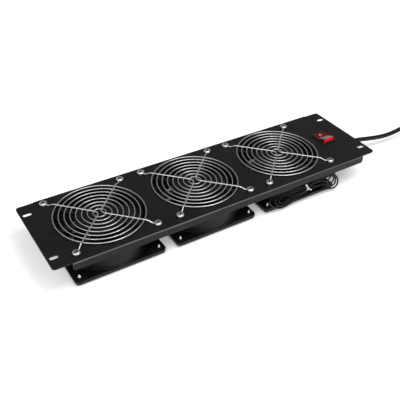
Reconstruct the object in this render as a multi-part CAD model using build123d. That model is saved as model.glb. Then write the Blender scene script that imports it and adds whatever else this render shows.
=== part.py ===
from build123d import *
import os
from math import cos, hypot, pi, radians, sin, tan

os.makedirs("parts", exist_ok=True)

# Sheet steel panel, in millimetres, lying face up with its long side along X
panel_width = 482.6
panel_thickness = 2.0
flange_depth = 10.4
ear_step = 2.75
flange_inset = 23.3
bend_radius = 2.5
ear_corner_radius = 4.0
flange_corner_radius = 3.0
slot_end_distance = 8.75
slot_spacing_y = 88.9
slot_width = 6.5
slot_length = 11.5
fan_opening_lip = 0.2

# Row of three fans
fan_names = ("left", "middle", "right")
fan_pitch = 135.8
middle_fan_x = -20.4

# Fan frame casting
fan_size = 120.0
fan_side_gap = 4.0
fan_depth = 38.0
fan_corner_radius = 5.0
fan_flange_thickness = 3.5
mount_edge_distance = 7.5
mount_hole_diameter = 4.5
barrel_side_distance = 3.8
barrel_wall = 2.5
barrel_fillet = 1.0
inlet_flare = 2.2
seat_recess = 1.2
seat_diameter = 62.0
seat_thickness = 2.5
seat_edge_fillet = 0.8
strut_width = 6.0
strut_depth = 4.5
lead_strut_width = 9.0
strut_draft = 6.0
bearing_tube_wall = 1.7
bearing_tube_length = 22.0

# Motor and impeller
bearing_outer_diameter = 13.0
bearing_width = 4.0
shaft_diameter = 5.0
bearing_clearance = 0.02
rotor_air_gap = 0.6
hub_diameter = 61.0
hub_wall = 1.6
hub_floor = 2.0
hub_edge_fillet = 3.0
hub_gap_to_seat = 1.0
hub_gap_to_guard = 5.0
shaft_end_gap = 0.5
shaft_chamfer = 0.4
strut_clearance = 0.5
rotor_wall = 2.0
rotor_floor = 1.5
rotor_rim_setback = 1.0
rotor_boss_diameter = 12.0
rotor_boss_height = 2.5
stator_height = 14.0
winding_height = 3.6
winding_width = 9.0
winding_gap = 2.0
stator_seat_clearance = 0.02
stator_slot_count = 4
stator_slot_width = 5.0
blade_count = 5
blade_tip_clearance = 1.0
blade_root_chord = 34.0
blade_tip_chord = 52.0
blade_root_angle = 42.0
blade_tip_angle = 26.0
blade_root_thickness = 2.4
blade_tip_thickness = 1.6
blade_camber = 0.09
blade_root_overlap = 6.0
blade_tip_overrun = 4.0

# Upper wire guards
guard_ring_count = 8
guard_ring_overlap = 0.7
guard_inner_ring_radius = 8.0
guard_ring_wire = 1.4
guard_arm_wire = 1.8
guard_ring_height = 2.8
guard_weld_depth = 0.5
guard_eyelet_radius = 3.3
guard_step_start = 3.8
guard_step_length = 6.0
guard_step_bend = 3.0
guard_centre_bend = 8.0

# Lower flat guards
lower_guard_inset = 0.5
lower_guard_thickness = 1.5
lower_guard_corner_radius = 5.0
lower_guard_rim_overlap = 1.2
lower_guard_centre_radius = 13.0
lower_guard_slot_rows = 4
lower_guard_ring_width = 2.6
lower_guard_spoke_width = 5.0

# Screws and nuts
screw_diameter = 4.0
upper_head_diameter = 9.6
upper_head_height = 2.5
upper_screw_length = 14.0
nut_across_flats = 7.0
nut_height = 3.2
nut_thread_clearance = 0.05
lower_head_diameter = 8.0
lower_head_height = 2.4
lower_screw_length = 10.0
lower_screw_point = 3.6
lower_screw_tip_radius = 0.3
shank_chamfer = 0.5
lower_hole_diameter = 4.1
recess_length = 4.8
recess_width = 1.0
recess_depth = 1.2
head_rim_share = 0.4
head_shoulder_shares = (0.87, 0.78)
head_crown_share = 0.62

# Rocker switch
switch_x = 201.0
switch_y = 1.0
bezel_width = 22.0
bezel_length = 31.0
bezel_height = 1.8
bezel_corner_radius = 1.5
switch_body_width = 19.4
switch_body_length = 27.8
switch_body_depth = 19.0
switch_barb_reach = 1.0
switch_barb_height = 6.0
switch_barb_width = 8.0
switch_barb_clearance = 0.1
switch_cutout_clearance = 0.2
switch_wall = 0.8
switch_well_depth = 11.0
rocker_side_clearance = 0.3
rocker_half_length = 12.0
rocker_end_height = 4.5
rocker_middle_height = 2.2
rocker_end_sweep = 20.0
rocker_hollow_height = 7.5
rocker_wall = 1.4
rocker_tilt = 10.5
rocker_pin_diameter = 3.0
rocker_pin_clearance = 0.04
rocker_pin_end_gap = 0.2
pivot_below_face = 0.5
lamp_diameter = 4.0
lamp_length = 4.5
lamp_tip_flat = 0.2
lamp_offset = 6.0
terminal_width = 4.8
terminal_thickness = 0.8
terminal_length = 9.0
terminal_hole_diameter = 1.6
terminal_hole_rise = 3.0
terminal_spacing_x = 10.0
terminal_spacing_y = 14.0

# Insulating cover over the terminals, with the cord's strain relief
cover_wall = 1.5
cover_grip = 5.0
cover_depth = 14.0
cover_corner_radius = 2.0
cover_edge_fillet = 1.2
relief_height = 20.0
relief_length = 27.0
relief_root_diameter = 13.0
relief_tip_diameter = 9.0
relief_rib_count = 4
relief_groove_depth = 0.9
grommet_width = 15.0
grommet_height = 6.0
grommet_depth = 3.0

# Power cord, its put-away coil and its plug
cord_diameter = 7.0
coil_centre = (421.0, -50.0)
coil_base = 1.5
coil_cell = 7.15
coil_columns = 2
coil_layers = 4
coil_mean_radius = 38.6
coil_edge_radius = 3.0
coil_tie_width = 6.0
coil_tie_thickness = 1.2
coil_tie_gap = 0.3
coil_tie_angles = (20.0, 200.0)
plug_width = 26.0
plug_height = 20.0
plug_length = 34.0
plug_corner_radius = 5.0
plug_relief_length = 20.0
plug_relief_tip_diameter = 9.0
plug_relief_root_diameter = 14.0
blade_pin_width = 6.3
blade_pin_thickness = 1.5
blade_pin_length = 17.5
blade_pin_spacing = 12.7
earth_pin_diameter = 4.8
earth_pin_length = 20.0
blade_pin_drop = 4.0
earth_pin_rise = 5.6
earth_pin_tip_flat = 0.4

# Fan leads, the tied hank and their clips
lead_diameter = 2.2
lead_boss_diameter = 5.0
lead_boss_length = 2.0
lead_exit_angle = 45.0
lead_exit_level = 22.0
lead_first_run = 5.0
grommet_lead_spacing = 4.5
clip_length = 7.0
clip_height = 8.0
clip_wall = 0.6
clip_room = 2.8
clip_corner_radius = 0.6
last_clip_x = 176.0
hank_tie_width = 2.4
hank_tie_thickness = 0.8
hank_tie_gap = 0.3

# Sizes that follow from the fans
panel_height = fan_size + 2 * (fan_side_gap + panel_thickness)
ear_height = panel_height - 2 * ear_step
slot_spacing_x = panel_width - 2 * slot_end_distance
mount_spacing = fan_size - 2 * mount_edge_distance
barrel_inner_diameter = fan_size - 2 * barrel_side_distance
fan_opening_diameter = barrel_inner_diameter - 2 * fan_opening_lip
guard_outer_ring_radius = fan_opening_diameter / 2 + guard_ring_overlap
guard_step_head = guard_outer_ring_radius + guard_step_start
guard_step_foot = guard_step_head + guard_step_length
lower_guard_size = fan_size - 2 * lower_guard_inset
lower_guard_open_radius = barrel_inner_diameter / 2 - lower_guard_rim_overlap

# Levels above the surface that the object stands on
fan_bottom = lower_head_height + lower_guard_thickness
fan_top = fan_bottom + fan_depth
panel_top = fan_top + panel_thickness
fan_xs = tuple(middle_fan_x + (i - 1) * fan_pitch for i in range(3))
seat_top = fan_top - seat_recess
seat_bottom = seat_top - seat_thickness
hub_bottom = fan_bottom + hub_gap_to_guard
hub_top = seat_bottom - hub_gap_to_seat
rotor_bottom = hub_bottom + hub_floor
pivot_level = panel_top - pivot_below_face
switch_bottom = panel_top - switch_body_depth
cover_bottom = switch_bottom - cover_depth
barrel_outer_radius = barrel_inner_diameter / 2 + barrel_wall
rocker_turn_radius = hypot(rocker_half_length, rocker_end_height)
cover_right = switch_x + switch_body_width / 2 + cover_wall
cover_front = switch_y - switch_body_length / 2 - cover_wall
grommet_leads = tuple(switch_x + i * grommet_lead_spacing for i in (-1, 0, 1))


def save(shape, name):
    shape.label = name
    export_step(shape, f"parts/{name}.step")


def upright(sketch, bottom, top):
    return Pos(0, 0, bottom) * extrude(sketch, top - bottom)


def mount_places(spacing):
    half = spacing / 2
    return [(x, y) for x in (-half, half) for y in (-half, half)]


def make_panel():
    plate = upright(RectangleRounded(panel_width, ear_height, ear_corner_radius), fan_top, panel_top)
    middle = panel_width - 2 * flange_inset
    outer = Rectangle(panel_height, flange_depth, align=(Align.CENTER, Align.MAX))
    outer = fillet(outer.vertices().group_by(Axis.Y)[-1], bend_radius)
    inner = Rectangle(panel_height - 2 * panel_thickness, flange_depth, align=(Align.CENTER, Align.MAX))
    inner = fillet(inner.vertices().group_by(Axis.Y)[-1], bend_radius - panel_thickness)
    section = outer - Pos(0, -panel_thickness) * inner
    across = Plane(origin=(-middle / 2, 0, panel_top), x_dir=(0, 1, 0), z_dir=(1, 0, 0))
    channel = extrude(across * section, middle)
    lower_edges = channel.edges().filter_by(Axis.Y).group_by(Axis.Z)[0]
    channel = fillet(lower_edges, flange_corner_radius)
    panel = plate + channel
    cuts = []
    for x in fan_xs:
        cuts.append(Pos(x, 0) * Circle(fan_opening_diameter / 2))
        cuts += [Pos(x + dx, dy) * Circle(mount_hole_diameter / 2) for dx, dy in mount_places(mount_spacing)]
    for x in (-slot_spacing_x / 2, slot_spacing_x / 2):
        for y in (-slot_spacing_y / 2, slot_spacing_y / 2):
            cuts.append(Pos(x, y) * SlotOverall(slot_length, slot_width))
    spare = 2 * switch_cutout_clearance
    cutout = Rectangle(switch_body_width + spare, switch_body_length + spare)
    cuts.append(Pos(switch_x, switch_y) * cutout)
    for cut in cuts:
        panel -= upright(cut, fan_top - 1, panel_top + 1)
    return panel


def make_fan_frame(x):
    """The round barrel and the two square flanges of one fan."""
    square = RectangleRounded(fan_size, fan_size, fan_corner_radius)
    frame = upright(square, fan_bottom, fan_bottom + fan_flange_thickness)
    frame += upright(square, fan_top - fan_flange_thickness, fan_top)
    frame += upright(Circle(barrel_outer_radius), fan_bottom, fan_top)
    rounds = frame.edges().filter_by(GeomType.CIRCLE)
    rounds = [e for e in rounds if abs(e.radius - barrel_outer_radius) < 0.01]
    frame = fillet(rounds, barrel_fillet)
    bore = upright(Circle(barrel_inner_diameter / 2), fan_bottom, fan_top)
    frame -= bore
    mouth = frame.edges().filter_by(GeomType.CIRCLE).group_by(Axis.Z)[0].sort_by(SortBy.RADIUS)[-1]
    frame = chamfer(mouth, inlet_flare)
    for dx, dy in mount_places(mount_spacing):
        hole = Pos(dx, dy) * Circle(mount_hole_diameter / 2)
        frame -= upright(hole, fan_top - fan_flange_thickness - 1, fan_top + 1)
        low_hole = Pos(dx, dy) * Circle(lower_hole_diameter / 2)
        frame -= upright(low_hole, fan_bottom - 1, fan_bottom + fan_flange_thickness + 1)
    round_body = upright(Circle(barrel_outer_radius), fan_bottom - 1, fan_top + 1)
    flanges = frame - round_body
    return Pos(x, 0, 0) * (frame & round_body), Pos(x, 0, 0) * Compound(children=flanges.solids())


def make_motor_seat(x):
    """The seat, struts and bearing tube, which meet the barrel's inner wall."""
    reach = barrel_inner_diameter / 2 + barrel_wall / 2
    narrow, wide = Rectangle(reach, strut_width), Rectangle(reach, lead_strut_width)
    strut = Pos(reach / 2, 0, seat_top) * extrude(narrow, -strut_depth, taper=strut_draft)
    lead_strut = Pos(reach / 2, 0, seat_top) * extrude(wide, -strut_depth, taper=strut_draft)
    struts = Rot(0, 0, 180) * lead_strut
    for quarter in range(4):
        struts += Rot(0, 0, 45 + 90 * quarter) * strut
    hub_room = upright(Circle(hub_diameter / 2 + strut_clearance), fan_bottom, seat_bottom)
    seat = upright(Circle(seat_diameter / 2), seat_bottom, seat_top)
    seat = fillet(seat.edges().group_by(Axis.Z)[-1], seat_edge_fillet)
    seat += struts - hub_room
    bearing_radius = bearing_outer_diameter / 2
    tube = Circle(bearing_radius + bearing_tube_wall) - Circle(bearing_radius)
    seat += upright(tube, seat_bottom - bearing_tube_length, seat_bottom)
    return Pos(x, 0, 0) * (seat & upright(Circle(barrel_inner_diameter / 2), fan_bottom, fan_top))


def make_bearings(x):
    race = Circle(bearing_outer_diameter / 2) - Circle(shaft_diameter / 2 + bearing_clearance)
    low = seat_bottom - bearing_tube_length
    lower = upright(race, low, low + bearing_width)
    upper = upright(race, seat_bottom - 2 * bearing_width, seat_bottom - bearing_width)
    return Pos(x, 0, 0) * Compound(children=[lower, upper])


def make_stator(x):
    tube_radius = bearing_outer_diameter / 2 + bearing_tube_wall + stator_seat_clearance
    core_radius = hub_diameter / 2 - hub_wall - rotor_wall - rotor_air_gap
    middle = (rotor_bottom + rotor_floor + seat_bottom) / 2
    low, high = middle - stator_height / 2, middle + stator_height / 2
    core = upright(Circle(core_radius) - Circle(tube_radius), low, high)
    slot = Pos(core_radius - stator_slot_width, 0) * Rectangle(2 * stator_slot_width, stator_slot_width / 2)
    for i in range(stator_slot_count):
        core -= Rot(0, 0, 360 / stator_slot_count * i) * upright(slot, low - 1, high + 1)
    ring = Circle(tube_radius + winding_gap + winding_width) - Circle(tube_radius + winding_gap)
    core += upright(ring, low - winding_height, high + winding_height)
    return Pos(x, 0, 0) * core


def blade_section(radius, share):
    chord = blade_root_chord + share * (blade_tip_chord - blade_root_chord)
    angle = blade_root_angle + share * (blade_tip_angle - blade_root_angle)
    half_thick = (blade_root_thickness + share * (blade_tip_thickness - blade_root_thickness)) / 2
    rise = blade_camber * chord
    front, back = chord / 2, -chord / 2
    upper = ThreePointArc((back, half_thick / 2), (0, rise + half_thick), (front, half_thick / 2))
    lower = ThreePointArc((back, -half_thick / 2), (0, rise - half_thick), (front, -half_thick / 2))
    edges = [upper, Line(upper @ 1, lower @ 1), lower, Line(lower @ 0, upper @ 0)]
    face = make_face(Curve() + edges)
    level = (hub_bottom + hub_top) / 2 - rise / 2 * cos(radians(angle))
    station = Plane(origin=(radius, 0, level), x_dir=(0, 1, 0), z_dir=(1, 0, 0))
    return station * (Rot(0, 0, angle) * face)


def make_impeller(x):
    hub_radius = hub_diameter / 2
    tip_radius = barrel_inner_diameter / 2 - blade_tip_clearance
    hub = upright(Circle(hub_radius), hub_bottom, hub_top)
    hub = fillet(hub.edges().group_by(Axis.Z)[0], hub_edge_fillet)
    hub -= upright(Circle(hub_radius - hub_wall), rotor_bottom, hub_top + 1)
    hub -= upright(Circle(shaft_diameter / 2), hub_bottom - 1, rotor_bottom + 1)
    radii = (hub_radius - blade_root_overlap, (hub_radius + tip_radius) / 2, tip_radius + blade_tip_overrun)
    shares = [(r - hub_radius) / (tip_radius - hub_radius) for r in radii]
    blade = loft([blade_section(r, s) for r, s in zip(radii, shares)])
    ring = upright(Circle(tip_radius) - Circle(hub_radius - hub_wall / 2), fan_bottom, fan_top)
    blade = blade & ring
    impeller = hub
    for i in range(blade_count):
        impeller += Rot(0, 0, 360 / blade_count * i) * blade
    return Pos(x, 0, 0) * impeller


def make_rotor(x):
    radius = hub_diameter / 2 - hub_wall
    rotor = upright(Circle(radius), rotor_bottom, hub_top - rotor_rim_setback)
    rotor -= upright(Circle(radius - rotor_wall), rotor_bottom + rotor_floor, hub_top)
    boss_top = rotor_bottom + rotor_floor + rotor_boss_height
    rotor += upright(Circle(rotor_boss_diameter / 2), rotor_bottom + rotor_floor, boss_top)
    rotor -= upright(Circle(shaft_diameter / 2), hub_bottom, boss_top + 1)
    return Pos(x, 0, 0) * rotor


def make_shaft(x):
    shaft = upright(Circle(shaft_diameter / 2), hub_bottom, seat_bottom - shaft_end_gap)
    shaft = chamfer(shaft.edges().group_by(Axis.Z)[-1], shaft_chamfer)
    return Pos(x, 0, 0) * shaft


def guard_arm_pair(side):
    ring_level = panel_top + guard_ring_height
    arm_level = ring_level + (guard_ring_wire + guard_arm_wire) / 2 - guard_weld_depth
    foot_level = panel_top + guard_arm_wire / 2
    reach = mount_spacing / 2 * hypot(1, 1) - guard_eyelet_radius
    stations = ((reach, foot_level), (guard_step_foot, foot_level), (guard_step_head, arm_level))
    diagonal = hypot(1, 1)
    points = [(side * d / diagonal, d / diagonal, z) for d, z in stations]
    points.append((0, 0, arm_level))
    points += [(side * d / diagonal, -d / diagonal, z) for d, z in reversed(stations)]
    bends = [guard_step_bend, guard_step_bend, guard_centre_bend, guard_step_bend, guard_step_bend]
    path = FilletPolyline(*points, radius=bends)
    start = Plane(origin=path @ 0, z_dir=path % 0)
    return sweep(start * Circle(guard_arm_wire / 2), path=path)


def make_upper_guard(x):
    ring_level = panel_top + guard_ring_height
    pitch = (guard_outer_ring_radius - guard_inner_ring_radius) / (guard_ring_count - 1)
    wires = [guard_arm_pair(-1), guard_arm_pair(1)]
    for i in range(guard_ring_count):
        wires.append(Pos(0, 0, ring_level) * Torus(guard_inner_ring_radius + i * pitch, guard_ring_wire / 2))
    for dx, dy in mount_places(mount_spacing):
        eyelet = Torus(guard_eyelet_radius, guard_arm_wire / 2)
        wires.append(Pos(dx, dy, panel_top + guard_arm_wire / 2) * eyelet)
    return Pos(x, 0, 0) * wires[0].fuse(*wires[1:])


def make_lower_guard(x):
    guard = RectangleRounded(lower_guard_size, lower_guard_size, lower_guard_corner_radius)
    depth = lower_guard_open_radius - lower_guard_centre_radius
    slot = (depth - (lower_guard_slot_rows - 1) * lower_guard_ring_width) / lower_guard_slot_rows
    spokes = Rot(0, 0, 45) * Rectangle(2 * lower_guard_size, lower_guard_spoke_width)
    spokes += Rot(0, 0, -45) * Rectangle(2 * lower_guard_size, lower_guard_spoke_width)
    for row in range(lower_guard_slot_rows):
        inner = lower_guard_centre_radius + row * (slot + lower_guard_ring_width)
        guard -= Circle(inner + slot) - Circle(inner) - spokes
    for dx, dy in mount_places(mount_spacing):
        guard -= Pos(dx, dy) * Circle(mount_hole_diameter / 2)
    return Pos(x, 0, 0) * upright(guard, fan_bottom - lower_guard_thickness, fan_bottom)


def screw_head(diameter, height):
    radius = diameter / 2
    rim = height * head_rim_share
    crown = radius * head_crown_share
    shoulder = (radius * head_shoulder_shares[0], height * head_shoulder_shares[1])
    outline = Polyline((0, 0), (radius, 0), (radius, rim))
    dome = ThreePointArc((radius, rim), shoulder, (crown, height))
    top = Polyline((crown, height), (0, height), (0, 0))
    head = revolve(Plane.XZ * make_face(Curve() + [outline, dome, top]), Axis.Z)
    for turn in (45, 135):
        slot = Rot(0, 0, turn) * Rectangle(recess_length, recess_width)
        head -= upright(slot, height - recess_depth, height + 1)
    return head


def make_upper_screws(x):
    seat = panel_top + guard_arm_wire
    shank = upright(Circle(screw_diameter / 2), -upper_screw_length, 0)
    shank = chamfer(shank.edges().group_by(Axis.Z)[0], shank_chamfer)
    screw = screw_head(upper_head_diameter, upper_head_height) + shank
    places = mount_places(mount_spacing)
    return Compound(children=[Pos(x + dx, dy, seat) * screw for dx, dy in places])


def make_upper_nuts(x):
    hexagon = RegularPolygon(nut_across_flats / 2, 6, major_radius=False)
    ring = hexagon - Circle(screw_diameter / 2 + nut_thread_clearance)
    top = fan_top - fan_flange_thickness
    nut = upright(ring, top - nut_height, top)
    return Compound(children=[Pos(x + dx, dy, 0) * nut for dx, dy in mount_places(mount_spacing)])


def make_lower_screws(x):
    seat = fan_bottom - lower_guard_thickness
    radius = lower_hole_diameter / 2
    straight = lower_screw_length - lower_screw_point
    point = [(lower_screw_tip_radius, lower_screw_length), (0, lower_screw_length)]
    outline = Polyline((0, 0), (radius, 0), (radius, straight), *point, (0, 0))
    shank = revolve(Plane.XZ * make_face(outline), Axis.Z)
    head = Rot(180, 0, 0) * screw_head(lower_head_diameter, lower_head_height)
    screw = shank + head
    return Compound(children=[Pos(x + dx, dy, seat) * screw for dx, dy in mount_places(mount_spacing)])


def make_switch_body():
    bezel = RectangleRounded(bezel_width, bezel_length, bezel_corner_radius)
    body = upright(bezel, panel_top, panel_top + bezel_height)
    body = fillet(body.edges().group_by(Axis.Z)[-1], bezel_height / 3)
    body += upright(Rectangle(switch_body_width, switch_body_length), switch_bottom, panel_top)
    well = Rectangle(switch_body_width - 2 * switch_wall, switch_body_length - 2 * switch_wall)
    body -= upright(well, panel_top - switch_well_depth, panel_top + bezel_height + 1)
    pin_radius = rocker_pin_diameter / 2 + rocker_pin_clearance
    body -= Pos(0, 0, pivot_level) * Cylinder(pin_radius, switch_body_width + 1, rotation=(0, 90, 0))
    barb = make_switch_barb()
    body += barb
    body += mirror(barb, about=Plane.XZ)
    return Pos(switch_x, switch_y, 0) * body


def make_switch_barb():
    """One of the two wedges that snap out under the panel's edge."""
    wall = switch_body_length / 2
    top = fan_top - switch_barb_clearance
    corners = ((wall, top), (wall + switch_barb_reach, top), (wall, top - switch_barb_height))
    outline = Polyline(*corners, corners[0])
    return extrude(Plane.YZ * make_face(outline), switch_barb_width / 2, both=True)


def make_switch_rocker():
    low_angle = radians(rocker_end_sweep)
    low_y, low_z = rocker_turn_radius * cos(low_angle), -rocker_turn_radius * sin(low_angle)
    back_top, front_top = (rocker_half_length, rocker_end_height), (-rocker_half_length, rocker_end_height)
    top = Polyline(back_top, (0, rocker_middle_height), front_top)
    back = ThreePointArc(back_top, (rocker_turn_radius, 0), (low_y, low_z))
    front = ThreePointArc(front_top, (-rocker_turn_radius, 0), (-low_y, low_z))
    bottom = Line((low_y, low_z), (-low_y, low_z))
    outline = make_face(Curve() + [top, back, front, bottom])
    width = switch_body_width - 2 * switch_wall - 2 * rocker_side_clearance
    side = Plane(origin=(0, 0, 0), x_dir=(0, 1, 0), z_dir=(1, 0, 0))
    rocker = extrude(side * outline, width / 2, both=True)
    hollow = Box(width - 2 * rocker_wall, 2 * low_y - 2 * rocker_wall, rocker_hollow_height,
                 align=(Align.CENTER, Align.CENTER, Align.MAX))
    rocker -= Pos(0, 0, rocker_middle_height - rocker_wall) * hollow
    pin_length = switch_body_width - 2 * rocker_pin_end_gap
    rocker += Cylinder(rocker_pin_diameter / 2, pin_length, rotation=(0, 90, 0))
    return Pos(switch_x, switch_y, pivot_level) * (Rot(-rocker_tilt, 0, 0) * rocker)


def make_switch_lamp():
    bottom = panel_top - switch_well_depth
    lamp = upright(Circle(lamp_diameter / 2), bottom, bottom + lamp_length)
    lamp = fillet(lamp.edges().group_by(Axis.Z)[-1], (lamp_diameter - lamp_tip_flat) / 2)
    return Pos(switch_x, switch_y - lamp_offset, 0) * lamp


def make_switch_terminals():
    blank = Rectangle(terminal_thickness, terminal_width)
    tip = switch_bottom - terminal_length
    tab = upright(blank, tip, switch_bottom)
    hole = Cylinder(terminal_hole_diameter / 2, 2 * terminal_thickness, rotation=(0, 90, 0))
    tab -= Pos(0, 0, tip + terminal_hole_rise) * hole
    places = [(x, y) for x in (-terminal_spacing_x / 2, terminal_spacing_x / 2)
              for y in (-terminal_spacing_y / 2, terminal_spacing_y / 2)]
    return Compound(children=[Pos(switch_x + x, switch_y + y, 0) * tab for x, y in places])


def make_terminal_cover():
    width, length = switch_body_width + 2 * cover_wall, switch_body_length + 2 * cover_wall
    outline = RectangleRounded(width, length, cover_corner_radius)
    cover = upright(outline, cover_bottom, switch_bottom + cover_grip)
    cover = fillet(cover.edges().group_by(Axis.Z)[0], cover_edge_fillet)
    room = Rectangle(switch_body_width, switch_body_length)
    cover -= upright(room, cover_bottom + cover_wall, switch_bottom + cover_grip + 1)
    return Pos(switch_x, switch_y, 0) * cover


def make_cord_relief():
    root, tip = relief_root_diameter / 2, relief_tip_diameter / 2
    cone = Cone(root, tip, relief_length, align=(Align.CENTER, Align.CENTER, Align.MIN))
    pitch = relief_length / (relief_rib_count + 1)
    for i in range(relief_rib_count):
        middle = pitch * (i + 1)
        radius = root + (tip - root) * middle / relief_length
        groove = Circle(radius + 1) - Circle(radius - relief_groove_depth)
        cone -= upright(groove, middle - pitch / 5, middle + pitch / 5)
    return Pos(cover_right, switch_y, relief_height) * (Rot(0, 90, 0) * cone)


def make_lead_grommet():
    block = Box(grommet_width, grommet_depth, grommet_height, align=(Align.CENTER, Align.MAX, Align.CENTER))
    block = fillet(block.edges().filter_by(Axis.Y), grommet_height / 3)
    return Pos(switch_x, cover_front, relief_height) * block


def arc_radii(points):
    radii = []
    for before, corner, after in zip(points, points[1:], points[2:]):
        run_in, run_out = Vector(*corner) - Vector(*before), Vector(*after) - Vector(*corner)
        turn = radians(run_in.get_angle(run_out))
        radii.append(0.45 * min(run_in.length, run_out.length) / tan(turn / 2))
    return radii


def make_tube(points, diameter, name):
    radii = arc_radii(points)
    path = FilletPolyline(*points, radius=radii)
    start = Plane(origin=path @ 0, z_dir=path % 0)
    tube = sweep(start * Circle(diameter / 2), path=path)
    expected = pi * diameter ** 2 / 4 * path.length
    print(name, "length", round(path.length, 1), "volume share", round(tube.volume / expected, 4),
          "radii in diameters", [round(r / diameter, 1) for r in radii])
    return tube


# The cord's route from the strain relief to the coil, and from the coil to the plug
cord_route_out = (
    (cover_right + relief_length, switch_y, relief_height),
    (256.0, switch_y, relief_height),
    (275.0, -0.4, 18.6),
    (299.0, -4.2, 15.8),
    (326.0, -7.4, 13.6),
    (352.0, -8.4, 15.6),
    (376.0, -8.2, 21.4),
    (399.0, -7.9, 26.0),
    (421.0, -7.7, 26.5),
)
cord_route_in = (
    (421.0, -92.3, 5.1),
    (405.0, -92.4, 5.4),
    (390.0, -92.9, 7.6),
    (377.0, -93.5, 9.9),
    (364.0, -93.6, 10.1),
)


def lead_exit(x, side, run=0.0):
    reach = barrel_outer_radius + lead_boss_length + run
    angle = radians(lead_exit_angle)
    return (x + side * reach * sin(angle), -reach * cos(angle), lead_exit_level)


left_lead_route = (
    lead_exit(fan_xs[0], 1),
    lead_exit(fan_xs[0], 1, lead_first_run),
    (-105.5, -53.5, 27.0),
    (-101.0, -60.5, 34.2),
    (-92.5, -62.1, 39.4),
    (-75.0, -61.9, 39.9),
    (-38.0, -62.1, 40.0),
    (15.0, -61.9, 39.9),
    (70.0, -62.1, 40.0),
    (125.0, -61.9, 39.9),
    (160.0, -62.1, 40.0),
    (184.5, -62.0, 39.7),
    (192.5, -57.5, 36.0),
    (196.0, -47.0, 28.5),
    (grommet_leads[0], -35.0, relief_height + 2.0),
    (grommet_leads[0], -24.5, relief_height),
    (grommet_leads[0], cover_front - grommet_depth, relief_height),
)
middle_lead_route = (
    lead_exit(fan_xs[1], 1),
    lead_exit(fan_xs[1], 1, lead_first_run),
    (30.0, -53.5, 26.5),
    (35.5, -60.6, 33.0),
    (44.5, -62.1, 36.8),
    (60.0, -61.9, 37.1),
    (92.0, -62.1, 37.0),
    (135.0, -61.9, 37.1),
    (165.0, -62.1, 37.0),
    (185.5, -62.0, 36.6),
    (196.5, -57.0, 32.0),
    (200.5, -46.0, 25.5),
    (grommet_leads[1], -35.0, relief_height + 1.0),
    (grommet_leads[1], -25.0, relief_height),
    (grommet_leads[1], cover_front - grommet_depth, relief_height),
)
hank_lead_route = (
    (167.0, -61.8, 17.0),
    (178.5, -59.6, 20.4),
    (189.0, -54.0, 22.6),
    (198.5, -46.0, 20.5),
    (grommet_leads[2], -35.0, relief_height - 0.6),
    (grommet_leads[2], -25.5, relief_height),
    (grommet_leads[2], cover_front - grommet_depth, relief_height),
)
hank_end_route = (
    lead_exit(fan_xs[2], -1),
    lead_exit(fan_xs[2], -1, lead_first_run),
    (66.8, -53.6, 21.4),
    (68.0, -60.8, 19.8),
)


def make_coil():
    inner = coil_mean_radius - coil_columns * coil_cell / 2
    outer = coil_mean_radius + coil_columns * coil_cell / 2
    height = coil_layers * coil_cell
    ring = upright(Circle(outer) - Circle(inner), coil_base, coil_base + height)
    ring = fillet(ring.edges(), coil_edge_radius)
    return Pos(*coil_centre, 0) * ring


def make_coil_ties():
    width = coil_columns * coil_cell + 2 * coil_tie_gap
    height = coil_layers * coil_cell + 2 * coil_tie_gap
    spare = 2 * coil_tie_thickness
    band = Rectangle(width + spare, height + spare) - Rectangle(width, height)
    loop = extrude(Plane.XZ * band, coil_tie_width / 2, both=True)
    level = coil_base + coil_layers * coil_cell / 2
    loop = Pos(coil_mean_radius, 0, level) * loop
    ties = [Pos(*coil_centre, 0) * (Rot(0, 0, angle) * loop) for angle in coil_tie_angles]
    return Compound(children=ties)


def make_plug_body():
    tip = cord_route_in[-1]
    relief = Cone(plug_relief_tip_diameter / 2, plug_relief_root_diameter / 2, plug_relief_length,
                  align=(Align.CENTER, Align.CENTER, Align.MIN))
    relief = Rot(0, -90, 0) * relief
    block = Box(plug_length, plug_width, plug_height, align=(Align.MAX, Align.CENTER, Align.CENTER))
    block = Pos(-plug_relief_length, 0, 0) * fillet(block.edges().filter_by(Axis.X), plug_corner_radius)
    block = fillet(block.edges().group_by(Axis.X)[-1], plug_corner_radius / 2)
    return Pos(*tip) * (relief + block)


def make_plug_pins():
    tip = Vector(*cord_route_in[-1]) - Vector(plug_relief_length + plug_length, 0, 0)
    blade = Box(blade_pin_length, blade_pin_thickness, blade_pin_width,
                align=(Align.MAX, Align.CENTER, Align.CENTER))
    rod = Cylinder(earth_pin_diameter / 2, earth_pin_length, rotation=(0, -90, 0),
                   align=(Align.CENTER, Align.CENTER, Align.MIN))
    rod = fillet(rod.edges().group_by(Axis.X)[0], (earth_pin_diameter - earth_pin_tip_flat) / 2)
    places = (tip.Y - blade_pin_spacing / 2, tip.Y + blade_pin_spacing / 2)
    pins = [Pos(tip.X, y, tip.Z - blade_pin_drop) * blade for y in places]
    pins.append(Pos(tip.X, tip.Y, tip.Z + earth_pin_rise) * rod)
    return Compound(children=pins)


# Stations of the hank: X, its middle in Y and Z, and its half sizes in Y and Z
hank_stations = (
    (58.0, -61.6, 22.0, 1.2, 4.0),
    (62.5, -62.1, 19.6, 2.4, 9.0),
    (72.0, -62.6, 18.0, 2.9, 12.2),
    (84.0, -62.8, 17.8, 2.9, 12.8),
    (98.0, -62.8, 20.2, 2.9, 9.8),
    (110.0, -62.7, 22.2, 2.8, 5.8),
    (120.7, -62.8, 22.6, 2.4, 3.8),
    (132.0, -62.6, 20.6, 2.8, 6.4),
    (146.0, -62.7, 18.2, 2.9, 9.8),
    (162.0, -62.6, 16.4, 2.9, 11.2),
    (173.0, -62.2, 15.6, 2.6, 9.6),
    (179.0, -61.7, 14.6, 1.2, 4.5),
)
tied_station = 6


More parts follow.
